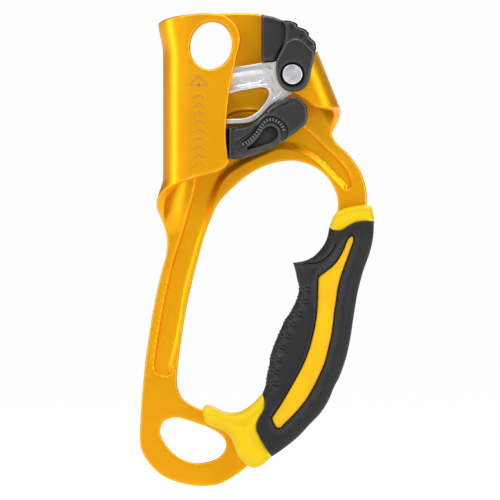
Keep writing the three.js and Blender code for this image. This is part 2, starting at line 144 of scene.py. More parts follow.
def circle(x, z, r, spacing=FINE):
    sides = max(12, round(2 * math.pi * r / spacing))
    turn = np.linspace(0, 2 * math.pi, sides, endpoint=False)
    return columns(x + r * np.cos(turn), z + r * np.sin(turn))


def rounded(*corners, spacing=FINE):
    """A polygon of (x, z, r) corners, each rounded off by its r."""
    points = []
    count = len(corners)
    for i, (x, z, r) in enumerate(corners):
        here = np.array([x, z])
        back = np.array(corners[i - 1][:2]) - here
        ahead = np.array(corners[(i + 1) % count][:2]) - here
        back_unit = back / np.linalg.norm(back)
        ahead_unit = ahead / np.linalg.norm(ahead)
        half = math.acos(np.clip(back_unit @ ahead_unit, -1, 1)) / 2
        run = min(r / math.tan(half), 0.48 * np.linalg.norm(back), 0.48 * np.linalg.norm(ahead))
        start, end = here + back_unit * run, here + ahead_unit * run
        for t in np.linspace(0, 1, 7):
            points.append((1 - t) ** 2 * start + 2 * t * (1 - t) * here + t * t * end)
    return resample(np.array([*points, points[0]]), spacing)[:-1]


def distance(points, outlines):
    """Distance from each point to the nearest edge of the outlines."""
    best = np.full(len(points), 1e9)
    for line in outlines:
        a, b = line, np.roll(line, -1, axis=0)
        edge = b - a
        length2 = np.maximum((edge ** 2).sum(1), 1e-12)
        for lo in range(0, len(points), CHUNK):
            part = slice(lo, lo + CHUNK)
            p = points[part, None, :]
            t = np.clip(((p - a) * edge).sum(2) / length2, 0, 1)
            gap = p - (a + t[..., None] * edge)
            best[part] = np.minimum(best[part], np.sqrt((gap ** 2).sum(2)).min(1))
    return best


def inside(points, line):
    x, z = points[:, 0:1], points[:, 1:2]
    a, b = line, np.roll(line, -1, axis=0)
    crosses = (a[:, 1] > z) != (b[:, 1] > z)
    rise = np.where(b[:, 1] == a[:, 1], 1e-9, b[:, 1] - a[:, 1])
    at = a[:, 0] + (z - a[:, 1]) * (b[:, 0] - a[:, 0]) / rise
    return (crosses & (x < at)).sum(1) % 2 == 1


def depth_in(points, line):
    """Distance inside an outline, negative outside it."""
    return np.where(inside(points, line), 1, -1) * distance(points, [line])


def smoothstep(t):
    t = np.clip(t, 0, 1)
    return t * t * (3 - 2 * t)


# ---- meshes

def ring_points(line, shift):
    """The outline moved sideways by shift, keeping only the points that stay that far from it."""
    along = unit(np.roll(line, -1, axis=0) - np.roll(line, 1, axis=0))
    moved = line + shift * columns(along[:, 1], -along[:, 0])
    keep = distance(moved, [line]) > abs(shift) * 0.93
    return moved[keep]


def offset_loop(line, inward):
    """A closed outline moved inwards, with even spacing."""
    turned = np.roll(line, -1, axis=0)
    area = (line[:, 0] * turned[:, 1] - turned[:, 0] * line[:, 1]).sum()
    moved = ring_points(line, -inward if area > 0 else inward)
    return resample(np.concatenate([moved, moved[:1]]), FINE)[:-1] if len(moved) > 2 else moved


def fill(outer, holes, rims, slopes=(), coarse=COARSE):
    """Triangulate an outline with holes, with rings of points at each rim distance. Each slope is an
    outline and widths: edges of the mesh run along the outline and at each width inside it."""
    edges_of = [outer, *holes]
    extra = [np.zeros((0, 2))]
    for line in edges_of:
        for rim in rims:
            extra += [ring_points(line, rim), ring_points(line, -rim)]
    loops = []
    for line, *widths in slopes:
        loops += [resample(np.concatenate([line, line[:1]]), FINE)[:-1]]
        loops += [offset_loop(line, width) for width in widths]
        extra.append(offset_loop(line, widths[0] / 2))
    extra = keep_inside(np.concatenate(extra), outer, holes, 0.02)
    low, high = outer.min(0), outer.max(0)
    across = np.arange(low[0], high[0], coarse)
    rows = np.arange(low[1], high[1], coarse * 0.87)
    grid = np.array([(x + (j % 2) * coarse / 2, z) for j, z in enumerate(rows) for x in across])
    grid = grid.reshape(-1, 2)
    grid = keep_inside(grid, outer, holes, max(rims, default=0) + coarse * 0.4)
    fixed = np.concatenate(loops) if loops else np.zeros((0, 2))
    inner = thin(np.concatenate([fixed, extra, grid]), 0.3 * FINE, len(fixed) + len(extra), coarse * 0.55,
        len(fixed))[len(fixed):]
    kept = [*edges_of, *(line for line in loops if len(line) > 2)]
    edges = []
    start = 0
    for line in kept:
        n = len(line)
        edges += [(start + i, start + (i + 1) % n) for i in range(n)]
        start += n
    points = np.concatenate([*kept, inner])
    found = geometry.delaunay_2d_cdt([Vector(p) for p in points], edges, [], 0, 1e-5, False)
    flat = np.array([v[:] for v in found[0]])
    triangles = np.array(found[2])
    return flat, triangles[on_face(flat[triangles].mean(1), outer, holes)]


def on_face(points, outer, holes):
    good = inside(points, outer)
    for hole in holes:
        good &= ~inside(points, hole)
    return good


def keep_inside(points, outer, holes, margin):
    if not len(points):
        return points
    return points[on_face(points, outer, holes) & (distance(points, [outer, *holes]) > margin)]


def thin(points, close, firm, loose, fixed):
    """Drop points that stand too close to an earlier one: `close` for the first `firm`, `loose` after.
    The first `fixed` points all stay."""
    tree = kdtree.KDTree(len(points))
    for i, p in enumerate(points):
        tree.insert((p[0], p[1], 0), i)
    tree.balance()
    alive = [True] * len(points)
    for i, p in enumerate(points):
        if not alive[i]:
            continue
        for _, j, gap in tree.find_range((p[0], p[1], 0), loose):
            if j > i and j >= fixed and (gap < close or j >= firm):
                alive[j] = False
    return points[np.array(alive, bool)]


def shell_mesh(name, flat, triangles, front, back, material):
    """Close the space between two lists of points over the same triangles."""
    count = len(flat)
    used = {}
    for a, b, c in triangles:
        for edge in ((a, b), (b, c), (c, a)):
            key = (min(edge), max(edge))
            used[key] = None if key in used else edge
    faces = [tuple(t) for t in triangles] + [(c + count, b + count, a + count) for a, b, c in triangles]
    faces += [(b, a, a + count, b + count) for a, b in filter(None, used.values())]
    return finish_mesh(name, np.concatenate([front, back]), faces, material)


def finish_mesh(name, vertices, faces, material, weld=0.0, scale=MM):
    mesh = bpy.data.meshes.new(name)
    placed = (np.array(vertices) * scale).tolist()
    mesh.from_pydata(placed, [], [tuple(int(i) for i in f) for f in faces])
    work = bmesh.new()
    work.from_mesh(mesh)
    if weld:
        bmesh.ops.remove_doubles(work, verts=work.verts, dist=weld)
    loose = [v for v in work.verts if not v.link_faces]
    bmesh.ops.delete(work, geom=loose, context="VERTS")
    bmesh.ops.recalc_face_normals(work, faces=work.faces)
    work.to_mesh(mesh)
    work.free()
    for polygon in mesh.polygons:
        polygon.use_smooth = True
    mesh.set_sharp_from_angle(angle=math.radians(SHARP_EDGE))
    piece = bpy.data.objects.new(name, mesh)
    bpy.context.scene.collection.objects.link(piece)
    mesh.materials.append(material)
    flatten = piece.modifiers.new("flatten", "WEIGHTED_NORMAL")
    flatten.keep_sharp = True
    return piece


def rim_drop(depth, across, deep):
    """How far a face falls back at each distance from its edge, for a rim rounded over across by deep."""
    t = np.clip(1 - depth / across, 0, 1)
    return deep * (1 - np.sqrt(np.maximum(1 - t * t, 0)))


def slab(name, outer, holes, y_front, y_back, material, rim=(0.5, 0.5), front_relief=(), back_relief=(),
         shape=None, coarse=COARSE, rings=RINGS, swell=None):
    """A plate with rounded rims. A relief is (outline, depth, slope width): it sinks a face inside the
    outline by depth, or raises it where depth is negative. shape(points, front, back) may bend it, and
    swell = (outline, across, deep) rounds it over towards the edge of a larger shape that it is part of."""
    across, deep = rim
    rims = [across * k for k in rings]
    slopes = [(line, width) for line, _, width in front_relief]
    slopes += [(line, width) for line, _, width in back_relief if not any(line is s[0] for s in slopes)]
    flat, triangles = fill(outer, holes, rims, slopes, coarse)
    depth = distance(flat, [outer, *holes])
    drop = rim_drop(depth, across, deep)
    if swell:
        drop = np.maximum(drop, rim_drop(np.maximum(depth_in(flat, swell[0]), 0), *swell[1:]))
    front = y_front + drop
    back = y_back - drop
    for line, sink, width in front_relief:
        front = front + sink * smoothstep(depth_in(flat, line) / width)
    for line, sink, width in back_relief:
        back = back - sink * smoothstep(depth_in(flat, line) / width)
    if shape:
        front, back = shape(flat, front, back)
    x, z = flat.T
    return shell_mesh(name, flat, triangles, columns(x, front, z), columns(x, back, z), material)


def ring_of(middle, r, first, second, sides):
    """Points round a circle in the plane of two unit vectors."""
    turns = [2 * math.pi * k / sides for k in range(sides)]
    return [middle + r * (math.cos(turn) * first + math.sin(turn) * second) for turn in turns]


def ring_faces(start, count, sides):
    """Quads between each ring of vertices and the next."""
    places = [(start + level * sides, k, (k + 1) % sides) for level in range(count) for k in range(sides)]
    return [(at + k, at + n, at + n + sides, at + k + sides) for at, k, n in places]


def lathe(name, x, z, profile, material, sides=48):
    """Turn a profile of (radius, y) round an axis along Y. It starts and ends on the axis or closes."""
    vertices = []
    for r, y in profile:
        for k in range(sides):
            turn = 2 * math.pi * k / sides
            vertices.append((x + r * math.cos(turn), y, z + r * math.sin(turn)))
    closed = profile[0][0] > 0
    rows = len(profile) if closed else len(profile) - 1
    faces = [tuple(i % len(vertices) for i in face) for face in ring_faces(0, rows, sides)]
    return finish_mesh(name, vertices, faces, material, weld=1e-7)


# ---- the folded sheet

HALF_TURN = math.pi * MIDDLE  # length of the rope channel's round wall
CORNER = FOLD_R * math.pi / 2
FOLD_LENGTH = 2 * CORNER + 2 * WALL_HALF
TILT_COS, TILT_SIN = math.cos(WALL_TILT), math.sin(WALL_TILT)
MOUTH_FLARE, FOOT_FLARE = 2.0, 2.6  # how far the channel's wall stands out at its top and its foot
ROLL_FROM, ROLL_OVER = -64, 14  # the height where the sheet begins to roll round the rope
TURN_FROM, TURN_OVER = -31, 7  # how far along the wall the right-hand fold begins


def across_wall(x, z):
    """Distances from the axle: n square to the right-hand wall, t along it."""
    dx = x - AXLE_X
    return dx * TILT_COS + z * TILT_SIN, z * TILT_COS - dx * TILT_SIN


def from_wall(n, t):
    return AXLE_X + n * TILT_COS - t * TILT_SIN, n * TILT_SIN + t * TILT_COS


def unfold_flange(points):
    """Where points of the front flange lie before the sheet is bent round the rope."""
    return [(-x - HALF_TURN, z) for x, z in points]


def unfold_wall(points):
    """Where points of the axle's flange lie before the right-hand fold is made."""
    out = []
    for x, z in points:
        n, t = across_wall(x, z)
        out.append(from_wall(2 * FOLD_START + FOLD_LENGTH - n, t))
    return out


def flare(z):
    return MOUTH_FLARE * smoothstep((z - 8) / 14) + FOOT_FLARE * smoothstep((-z - 41) / 11)


def fold(flat):
    """The middle surface of the bent sheet, and its normal, which points to the outside."""
    u, z = flat[:, 0], flat[:, 1]
    x, y = u.copy(), np.full(len(u), MIDDLE)
    turn = np.clip(-u / MIDDLE, 0, math.pi)
    bent_x = np.where(-u > HALF_TURN, -u - HALF_TURN, -(MIDDLE + flare(z)) * np.sin(turn))
    bent_y = MIDDLE * np.cos(turn)
    rolled = smoothstep((z - ROLL_FROM) / ROLL_OVER) * (u < 0)
    x = x + rolled * (bent_x - x)
    y = y + rolled * (bent_y - y)
    n, t = across_wall(u, z)
    m = n - FOLD_START
    first = np.clip(m, 0, CORNER) / FOLD_R
    second = np.clip(m - CORNER - 2 * WALL_HALF, 0, CORNER) / FOLD_R
    wall = np.clip(m - CORNER, 0, 2 * WALL_HALF)
    past = np.maximum(m - FOLD_LENGTH, 0)
    bent_n = FOLD_START + FOLD_R * (np.sin(first) + np.cos(second) - 1) - past
    bent_y = WALL_HALF + FOLD_R * np.cos(first) - wall - FOLD_R * np.sin(second)
    turned = smoothstep((t - TURN_FROM) / TURN_OVER) * (m > 0)
    wall_x, wall_z = from_wall(bent_n, t)
    x = x + turned * (wall_x - x)
    y = y + turned * (bent_y - y)
    z = z + turned * (wall_z - z)
    return columns(x, y, z)


def bend_sheet(flat, outside, inside_face):
    """Points on both faces of the folded sheet, at these distances outwards from its middle."""
    tiny = 0.02
    along_u = fold(flat + (tiny, 0)) - fold(flat - (tiny, 0))
    along_z = fold(flat + (0, tiny)) - fold(flat - (0, tiny))
    normal = unit(np.cross(along_z, along_u))
    middle = fold(flat)
    return middle + normal * outside[:, None], middle + normal * inside_face[:, None]


def sheet_outline():
    """The frame's blank before it is folded, from the channel's top round the front flange, the foot, the
    strut, the lower eye and the grip's strut, the right arm and the fold, and back along the top."""
    wrap = -HALF_TURN
    flange_side = [(15, 22.6), (18.5, 19), (20, 14.5), (18.6, 7.5), (17, 0.5), (15.6, -7), (14.4, -20),
        (14.4, -27), (15.2, -32.6)]
    flange_foot = [(15.3, -34.6), (14, -36.8), (12.5, -38), (6, -40), (2, -41.1), (-2, -42.4)]
    foot = ((1, -28), (4, -25), (8, -21.8), (12, -20.3), (16, -19.6), (19.6, -18.9))
    wall_foot = [from_wall(FOLD_START + m, t) for m, t in foot]
    wall_top = [from_wall(FOLD_START + m, 5.8) for m in (FOLD_LENGTH + 1, FOLD_LENGTH / 2, 0)]
    return joined([(-5, 23.4), (-10, 21.8), (wrap / 2, 20.9), (wrap + 10, 21.8), (wrap + 5, 23.2),
        *unfold_flange([(0, 24.0)])], unfold_flange([(6, 24.5), (13, 23.9)]), unfold_flange(flange_side),
        [*unfold_flange(flange_foot), (wrap + 5.5, -44.2), (wrap + 9.5, -46.6), (-16.2, -49.6), (-14, -53.6),
        (-11.8, -57.6), (-10.4, -61), (-9.5, -65), (-9.4, -67.5), (-9.8, -72), (-11.7, -79), (-13.8, -88),
        (-16, -100), (-17.8, -112), (-19.6, -130), (-20.2, -140), (-20.4, -145), (-19.8, -150), (-17, -155),
        (-12, -160), (-5.5, -163), (3, -164.6), (8, -164.4), (12, -163.6), (18.5, -160), (22.8, -156.5),
        (37, -142), (47, -131), (55, -117), (59.5, -104), (61.5, -90), (65, -76), (69.5, -62), (70.6, -51.6),
        (70.5, -46.7), (69.1, -41), (66.7, -36.1), (62.5, -30.8), (58.5, -27.1), wall_foot[0]],
        [*wall_foot[1:], *unfold_wall([(54.5, -13.8)])], unfold_wall([(50, -12.9), (45, -10), (40, -6.9)]),
        unfold_wall([(36.4, -4.4), (34.8, 0), (36, 6)]), unfold_wall([(38.8, 13), (38.6, 19.8)]),
        unfold_wall([(42, 17.8), (46, 13), (47.8, 10.2)]), wall_top,
        [(47.2, 9), (44, 15.6), (40, 19.6), (36, 21.8), (28.8, 24.3)],
        [(26, 24.7), (16, 24.85), (8, 24.6), (1, 24.1)], spacing=FINE * 1.6)


def upper_hole():
    """The carabiner hole beside the rope: an ellipse that leans to the right."""
    lean = -0.2
    turn = np.linspace(0, 2 * math.pi, 84, endpoint=False)
    long, short = 9.7 * np.cos(turn), 8.3 * np.sin(turn)
    x = 8.2 - long * math.sin(lean) - short * math.cos(lean)
    return columns(x, 11.7 + long * math.cos(lean) - short * math.sin(lean))


def hand_opening():
    return loop((41, -34.2), (45.5, -35), (50, -36.9), (54, -40), (57, -44.2), (58.8, -49), (59, -54),
        (57.5, -60), (54, -70), (49, -84), (46, -98), (40.5, -112), (35, -123), (25, -133), (17, -136),
        (9, -135.4), (2, -133), (-2.8, -130), (-4.7, -127), (-5.5, -122.5), (-4.9, -115), (-3.6, -105),
        (-2, -95), (0.1, -85), (2.6, -75), (4.6, -67.5), (6.2, -62.5), (9, -55.5), (11, -51.5), (14, -47.8),
        (18, -44), (22, -40.6), (26, -38.1), (30, -36.2), (35, -34.7))


def lower_eye():
    return loop((-7.5, -137.3), (-5, -137.2), (0, -138.6), (6, -140.7), (11.5, -143.6), (13.6, -146),
        (14.1, -149), (12, -152.6), (7, -154.9), (1, -155.3), (-5, -153), (-9.5, -148.8), (-12, -144.3),
        (-12.2, -142), (-10.8, -138.8))


# The pressed groove up the left strut, under the cam and down the right arm: its outer edge, its end by
# the grip, its edge along the hand opening, and its foot.
GROOVE_EDGES = ([(-15.1, -116), (-13.3, -104), (-11.4, -93), (-9.3, -83), (-7.2, -74), (-4.2, -65),
    (-1.5, -56), (0.6, -48.5), (1.8, -42.2), (4, -32), (9, -21), (16, -15), (24, -13.6), (34, -15.6),
    (40.8, -18.4), (45.8, -20.8), (50.5, -25), (54, -28.5), (58, -32.2), (61, -35.5), (63.5, -39),
    (64.8, -42.5)], [(64.8, -42.5), (64.4, -45), (62.4, -46.2), (59.8, -45.1)],
    [(59.8, -45.1), (55.6, -40.9), (50.7, -35.8), (45, -32.1), (39.5, -30.1), (35.5, -30), (28.9, -32.7),
    (21.2, -36.4), (14.7, -41.1), (11.1, -47.5), (8.2, -56.7), (5, -66.7), (2.2, -76.6), (-0.4, -86.5),
    (-2, -96.4), (-4, -107.4), (-6.2, -116)],
    [(-6.2, -116), (-7.4, -119.4), (-10.6, -121), (-14, -119.6), (-15.1, -116)])
GROOVE_STEEP = 1.0  # width of the slope along the outer edge and at both ends
GROOVE_GENTLE = 2.8  # width of the slope along the hand opening
GROOVE_HOLLOW = 1.7  # how much more slowly that slope starts than it ends


def make_frame(material):
    blank = sheet_outline()
    hole = upper_hole()
    axle = circle(AXLE_X, 0, AXLE_HOLE_R)
    holes = [hole, np.array(unfold_flange(hole)), hand_opening(), lower_eye(), axle,
        np.array(unfold_wall(axle))]
    groove = outline(*GROOVE_EDGES)
    gentle = outline(GROOVE_EDGES[2], GROOVE_EDGES[2][::-1])
    slope = (groove, GROOVE_STEEP / 2, GROOVE_STEEP, 0.6 * GROOVE_GENTLE, 0.8 * GROOVE_GENTLE, GROOVE_GENTLE)
    rims = [SHEET_RIM * k for k in RINGS]
    flat, triangles = fill(blank, holes, rims, [slope], SHEET_COARSE)
    half = SHEET / 2 - rim_drop(distance(flat, [blank, *holes]), SHEET_RIM, SHEET_RIM)
    sunk = GROOVE_DEPTH * smoothstep(depth_in(flat, groove) / GROOVE_STEEP)
    sunk *= np.minimum(distance(flat, [gentle]) / GROOVE_GENTLE, 1) ** GROOVE_HOLLOW
    front, back = bend_sheet(flat, half + sunk, sunk - half)
    return shell_mesh("frame_sheet", flat, triangles, front, back, material)


# ---- materials

def feed(material, node, **inputs):
    """Set a node's inputs, each to a value or to another node's output. _ stands for a space."""
    for name, value in inputs.items():
        target = node.inputs[name.replace("_", " ")]
        if isinstance(value, bpy.types.NodeSocket):
            material.node_tree.links.new(value, target)
        else:
            target.default_value = value


def add_node(material, kind, **inputs):
    node = material.node_tree.nodes.new("ShaderNode" + kind)
    feed(material, node, **inputs)
    return node


def new_material(name, metallic=0.0, **inputs):
    material = bpy.data.materials.new(name)
    material.use_nodes = True
    shader = material.node_tree.nodes["Principled BSDF"]
    feed(material, shader, Metallic=metallic, **inputs)
    return material, shader


def noise(material, scale, detail=4.0, stretch=(1, 1, 1)):
    """Noise in the object's own space, pulled out along the axes where stretch is small."""
    place = add_node(material, "TexCoord").outputs["Object"]
    mapped = add_node(material, "Mapping", Scale=stretch, Vector=place).outputs["Vector"]
    return add_node(material, "TexNoise", Scale=scale, Detail=detail, Vector=mapped).outputs["Fac"]


def edge_wear(material):
    """0 on flat faces and 1 on sharp outer edges."""
    edge = add_node(material, "NewGeometry").outputs["Pointiness"]
    return add_node(material, "MapRange", From_Min=0.52, From_Max=0.62, Value=edge).outputs["Result"]


def spread(material, value, low, high):
    """Map a noise value to a range."""
    levels = add_node(material, "MapRange", From_Min=0.3, From_Max=0.7, To_Min=low, To_Max=high, Value=value)
    return levels.outputs["Result"]


def blend_colours(material, value, first, second):
    mixer = add_node(material, "Mix")
    mixer.data_type = "RGBA"
    feed(material, mixer, Factor=value)
    for socket, colour in (("A", first), ("B", second)):
        target = next(i for i in mixer.inputs if i.name == socket and i.type == "RGBA")
        if isinstance(colour, tuple):
            target.default_value = (*colour, 1)
        else:
            material.node_tree.links.new(colour, target)
    return next(o for o in mixer.outputs if o.type == "RGBA")


def mottled(material, pattern, first, second, worn=None):
    """Two tones of a colour, blended by a pattern, with paler edges where worn is given."""
    tone = blend_colours(material, spread(material, pattern, 0, 1), first, second)
    return blend_colours(material, edge_wear(material), tone, worn) if worn else tone


def add_bump(material, shader, heights):
    """heights: (value, strength, distance in metres), the finest last."""
    normal = None
    for value, strength, reach in heights:
        bump = add_node(material, "Bump", Strength=strength, Distance=reach, Height=value)
        if normal:
            feed(material, bump, Normal=normal)
        normal = bump.outputs["Normal"]
    feed(material, shader, Normal=normal)


def anodised():
    """Satin gold-orange anodised aluminium: a fine blasted grain, cloudy tone and paler edges."""
    material, shader = new_material("anodised", metallic=0.85, Coat_Weight=0.04, Coat_Roughness=0.25)
    cloud = noise(material, 38, 3)
    grain = noise(material, 2600, 2)
    colour = mottled(material, cloud, (0.86, 0.372, 0.001), (0.90, 0.41, 0.002), (0.97, 0.58, 0.03))
    feed(material, shader, Base_Color=colour, Roughness=spread(material, grain, 0.33, 0.46))
    add_bump(material, shader, [(cloud, 0.05, 0.0004), (grain, 0.12, 0.00006)])
    return material


def steel(name, colour, rough, brushed):
    """Cast or turned steel: a fine grain, streaks where it is brushed, and soiled patches at random."""
    material, shader = new_material(name, metallic=1.0)
    streak = noise(material, 900, 5, brushed)
    soil = noise(material, 120, 4)
    tone = mottled(material, soil, colour, tuple(0.86 * c for c in colour), (0.86, 0.87, 0.89))
    roughness = spread(material, streak, rough * 0.75, rough * 1.3)
    feed(material, shader, Base_Color=tone, Roughness=roughness)
    add_bump(material, shader, [(soil, 0.08, 0.0002), (streak, 0.16, 0.00005)])
    return material


def turned_steel():
    """The rivet's face: lathe marks that run round it spread its highlights along the radius."""
    material, shader = new_material("turned_steel_finish", metallic=1.0, Anisotropic=0.75)
    round_y = add_node(material, "Tangent")
    round_y.direction_type = "RADIAL"
    round_y.axis = "Y"
    soil = noise(material, 300, 4)
    tone = mottled(material, soil, (0.74, 0.75, 0.77), (0.62, 0.63, 0.65))
    roughness = spread(material, soil, 0.28, 0.36)
    feed(material, shader, Base_Color=tone, Roughness=roughness, Tangent=round_y.outputs["Tangent"])
    add_bump(material, shader, [(soil, 0.1, 0.00005)])
    return material


def paint_shade_in_hollows(material, shader, sheltered, open_to_light, reach=0.004):
    """Painted shade: hollows reflect less than open faces, as their specular level is lowered by ambient
    occlusion to stand in for the shade that falls in them.
    """
    shelter = add_node(material, "AmbientOcclusion", Distance=reach)
    shelter.samples = 8
    level = spread(material, shelter.outputs["AO"], sheltered, open_to_light)
    feed(material, shader, Specular_IOR_Level=level)


def moulded(name, colour, pale, rough, grain_scale=1500, strength=0.14, hollows=None, **sockets):
    """Moulded plastic or rubber: a fine spark-eroded texture, slight mottling, paler worn edges and, where
    hollows is given, painted shade in its hollows.
    """
    material, shader = new_material(name, **sockets)
    mottle = noise(material, 70, 3)
    grain = noise(material, grain_scale, 3)
    tone = mottled(material, mottle, colour, tuple(0.9 * c for c in colour), pale)
    roughness = spread(material, grain, rough * 0.88, rough * 1.12)
    feed(material, shader, Base_Color=tone, Roughness=roughness)
    add_bump(material, shader, [(mottle, 0.04, 0.0003), (grain, strength, 0.00008)])
    # painted shade: ambient occlusion lowers the specular level in hollows
    if hollows:
        paint_shade_in_hollows(material, shader, *hollows)
    return material


GOLD = anodised()
CAM_STEEL = steel("cam_steel_finish", (0.86, 0.87, 0.88), 0.36, (1, 1, 1))
BRIGHT_STEEL = steel("bright_steel_finish", (0.66, 0.67, 0.69), 0.22, (1, 0.1, 1))
SPRING_STEEL = steel("spring_steel_finish", (0.42, 0.42, 0.43), 0.3, (1, 0.2, 1))
TURNED_STEEL = turned_steel()
# the black plastic gets painted shade in its hollows: less specular reflection where ambient occlusion finds
# them
BLACK = moulded("black_plastic_finish", (0.008, 0.0084, 0.009), (0.06, 0.06, 0.065), 0.3,
    hollows=(0.05, 0.75))
LEMON = moulded("lemon_plastic_finish", (0.75, 0.52, 0.0015), (0.84, 0.64, 0.015), 0.42, strength=0.08,
    Specular_IOR_Level=0.22)
# painted shade: the same lemon plastic as the collars, in a deeper golden tone for the inlays and shells
LEMON_PAINTED_SHADE = moulded("lemon_plastic_painted_shade_finish", (0.84, 0.46, 0.002), (0.90, 0.55, 0.015), 0.4, strength=0.08,
    Specular_IOR_Level=0.22)
RUBBER = moulded("rubber_finish", (0.010, 0.010, 0.0112), (0.045, 0.045, 0.05), 0.62, 1100, 0.3,
    Specular_IOR_Level=0.32)
KNURL = moulded("knurl_finish", (0.06, 0.06, 0.063), (0.12, 0.12, 0.125), 0.32)
# painted shade: a darker gold for the marks, standing in for the shade on the edges of engraved marks
ENGRAVING_SHADE = moulded("engraving_shade_finish", (0.44, 0.20, 0.004), (0.50, 0.25, 0.006), 0.5)


# ---- cover, axle and cam

def make_cover(material):
    """The black cover: a notched crown over the fold, an ear in front of it and a panel inside."""
    skyline = [[(39.6, 21.4)], [(41.8, 20.7), (43, 19.7)], [(42.8, 19)], [(44.8, 18.4), (46, 17.9)],
        [(47.4, 16.4)], [(47.2, 15.3)], [(48.8, 13.8)], [(49.9, 12.6), (50.2, 10.2)]]
    under = [[(48.9, 10)], [(46.8, 13.6), (42.6, 18.2), (37.4, 20.8)], [(37.4, 21.6)]]
    crown = slab("cover_crown", joined(*skyline, *under), [], -11.4, 11.1, material, (0.25, 0.3))
    brow_low = [[(49.6, 8.4)], [(44, 12), (38, 12.6)], [(38, 18), (37.4, 21.6)]]
    pits = [(circle(x, z, 0.75), 0.7, 0.3) for x, z in ((40.4, 18.6), (44.2, 15.4), (47.2, 12.2))]
    brow = slab("cover_brow", joined(*skyline, *brow_low), [], -12.6, -11.3, material, (1.7, 1.15), pits)
    ear_outline = joined([(41, 14.4), (44.6, 13.6), (47.6, 11), (49.8, 9)],
        [(49.3, 6), (48.2, 1), (47.3, -2.6), (45.6, -5.3), (43.5, -6.6), (40.9, -7), (38.4, -6.5),
        (36.2, -4.9), (34.7, -2.2), (34.2, 1), (34.4, 5.6), (36, 9), (38.1, 13.2)])
    seat = [(circle(AXLE_X, 0, 5.0), 1.2, 0.35)]
    ear = slab("cover_ear", ear_outline, [circle(AXLE_X, 0, 4.08)], -13.2, -11.3, material, (1.4, 0.8), seat)
    panel_outline = rounded((28.3, 24.1, 0.5), (28.3, 5.2, 1.6), (33.8, 5.6, 3), (38, 12.2, 1),
        (42, 12.4, 1), (42.4, 18.4, 1), (37.4, 21.6, 0.5), (33, 23.2, 2))
    panel = slab("cover_panel", panel_outline, [], -7.2, 7.2, material, (1.3, 1.3))
    bridge_outline = joined([(37.7, 19.4), (37.9, 16), (37.3, 12.4), (35.6, 8.4)],
        [(37.4, 9.6), (38.7, 13), (38.9, 18), (38.4, 21.1)], [(36.4, 21.7)])
    bridge = slab("cover_bridge", bridge_outline, [], -12.4, -6.8, material, (0.3, 0.4))
    return [crown, brow, ear, panel, bridge]


def make_axle(material):
    """The rivet: a faintly dished head in front, the shaft, and the set head behind."""
    head = [(0, -12.9), (1.5, -12.9), (3.55, -12.95), (3.85, -12.8), (4.0, -12.4), (4.0, -11.35),
        (3.0, -11.35), (3.0, 12.9), (4.3, 12.95), (4.35, 13.3), (4.1, 13.8), (3.6, 14.08), (1.5, 14.0),
        (0, 14.0)]
    return lathe("axle_rivet", AXLE_X, 0, head, material, 64)


def tooth_point(angle, height=0.0):
    r = TOOTH_R * math.exp(math.tan(TOOTH_ANGLE) * (angle - TOOTH_ANGLE)) + height
    return AXLE_X - r * math.cos(angle), -r * math.sin(angle)


def make_cam(material):
    lower = tooth_point(TOOTH_ANGLE)
    body = joined([(34.2, 5.6), (28, 4.8), (24, 4), (18, 3.2), (8, 1.7), (1, 0.6)], [tooth_point(0.02)],
        [tooth_point(0.15), tooth_point(0.28), lower], [(6, -20), (15, -19.8), (22, -19.5), (25, -18.8),
        (27, -17.6), (30, -14.6), (32, -12.5), (34.5, -10.8), (37, -9.4), (40, -7.5)],
        [(46, -5.2), (48.1, 0), (46, 5.2), (41, 7.6), (37, 6.9)])
    window = joined([(16, -7.5), (20, -6.5), (24, -5.8), (28.6, -5.2), (30.4, -5.5), (31.3, -6.8),
        (31.2, -8.4), (29.8, -11), (27.5, -13.9), (25, -15.9), (22, -17.2), (15, -17.6), (4.4, -17.8)],
        [(2.8, -16.6), (2.6, -11.2), (4, -9.6)])
    face = joined([(18, 2.0), (30, 4.0), (32.4, 4.3)],
        [(33.4, 3.8), (33.3, 1.5), (33.4, -1), (34.2, -3.2), (35.2, -4.8), (36.8, -6.3)],
        [(35, -8.6), (32.8, -9.8)], [(33.1, -7.4), (32.2, -5), (30.4, -3.9)],
        [(24, -4.6), (16, -6.2), (3, -8.6)], [(3, -0.4)], spacing=FINE)
    line = slot_outline(smooth_curve([(8, -0.5), (18, 1.3), (26, 2.6), (32.4, 3.3)], 0.5), 0.42)
    pocket = slot_outline([(31, 2.3), (32.6, 2.6)], 0.75)
    plate = rounded((8, -1.2, 1), (29.4, 1.3, 1), (28.6, -2.8, 1), (8, -6.4, 1))
    relief = [(face, 0.55, 0.3), (line, 0.7, 0.2), (pocket, 0.6, 0.2), (plate, 0.25, 0.3)]
    back_relief = relief[:3]
    blade = slab("cam_blade", body, [window, circle(AXLE_X, 0, 4.3)], -CAM_HALF, CAM_HALF, material,
        (0.4, 0.4), relief, back_relief, coarse=1.0)
    lug = lathe("cam_lug", PIN[0], PIN[1],
        [(1.3, -2.7), (2.5, -2.7), (2.7, -2.5), (2.7, 2.5), (2.5, 2.7), (1.3, 2.7)], material, 32)
    return [blade, lug, make_teeth(material)]


